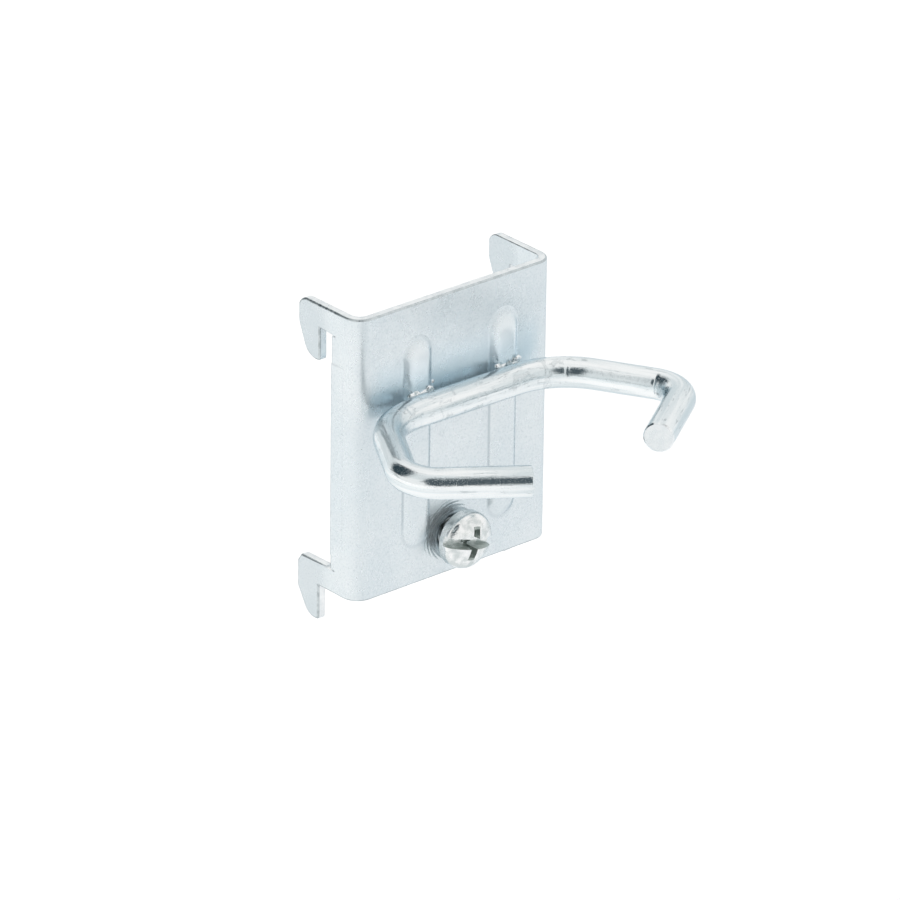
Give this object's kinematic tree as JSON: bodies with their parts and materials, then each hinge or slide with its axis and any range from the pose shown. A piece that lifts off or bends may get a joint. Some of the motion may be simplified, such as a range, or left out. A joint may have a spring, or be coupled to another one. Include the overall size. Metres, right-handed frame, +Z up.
{
  "type": "pegboard hook",
  "caption": "Zinc-plated tool hook for a perforated panel: a folded bracket with claws, a bent wire holder that is open at the front, and a lock screw.",
  "frame": {"origin": "in the face of the panel that the bracket lies on, in the middle of the bracket's width and height", "axes": "+X to the right of a person facing the panel, -Y out of the panel towards that person, +Z up"},
  "size_m": [0.0504, 0.0427, 0.0466],
  "materials": {
    "zinc_plated_sheet": "bright zinc-plated sheet steel, satin",
    "zinc_plated_wire": "bright zinc-plated drawn wire, glossy",
    "zinc_plated_screw": "bright zinc-plated screw, glossy"
  },
  "bodies": {
    "bracket": {"bracket": "zinc_plated_sheet", "wire_hook": "zinc_plated_wire"},
    "lock_screw": {"lock_screw": "zinc_plated_screw"}
  },
  "joints": [
    {"name": "lock_screw_travel", "type": "slide", "parent": "bracket", "child": "lock_screw", "axis": [0, 1, 0], "range_m": [-0.002, 0.00135]}
  ]
}
